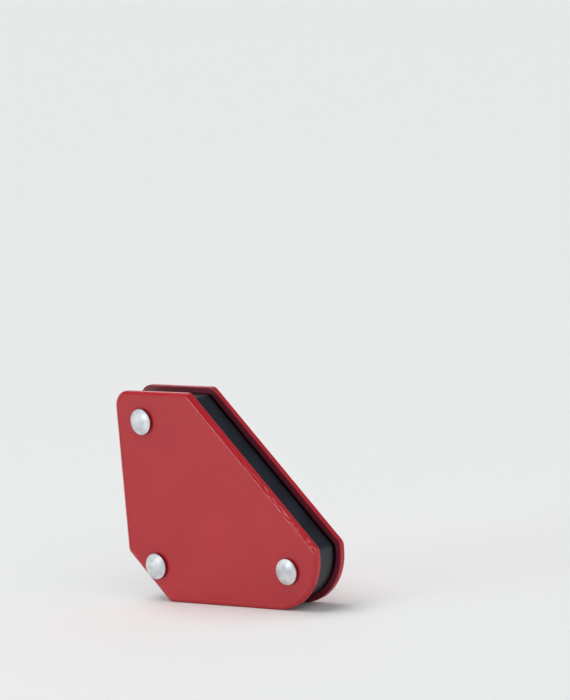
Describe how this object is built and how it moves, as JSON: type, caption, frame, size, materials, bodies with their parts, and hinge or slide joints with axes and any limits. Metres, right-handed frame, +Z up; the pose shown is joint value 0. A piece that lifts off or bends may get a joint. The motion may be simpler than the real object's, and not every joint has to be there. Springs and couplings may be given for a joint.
{
  "type": "welding magnet holder",
  "caption": "Small magnetic welding holder: red painted steel plates riveted over a black spacer with magnets inside, with working edges at 45, 90 and 135 degrees.",
  "frame": {"origin": "under the middle of the holder: the middle of its length and of its thickness over the rivet ends, at the level of the long edge that it stands on", "axes": "+X along the long edge, away from the chamfered corner; +Y from the domed rivet heads at the front to the rolled rivet ends at the back; +Z up along the short edge"},
  "size_m": [0.06, 0.0136, 0.0515],
  "materials": {
    "plate_paint": "satin red powder coat on steel",
    "spacer_plastic": "satin black moulded plastic",
    "ferrite": "matt dark grey sintered and ground ferrite",
    "rivet_metal": "bright, lightly tumbled"
  },
  "bodies": {
    "root": {"front_plate": "plate_paint", "back_plate": "plate_paint", "spacer_core": "spacer_plastic", "magnet_bottom": "ferrite", "magnet_side": "ferrite", "magnet_diagonal": "ferrite", "rivet_top_left": "rivet_metal", "rivet_bottom_left": "rivet_metal", "rivet_bottom_right": "rivet_metal"}
  },
  "joints": []
}
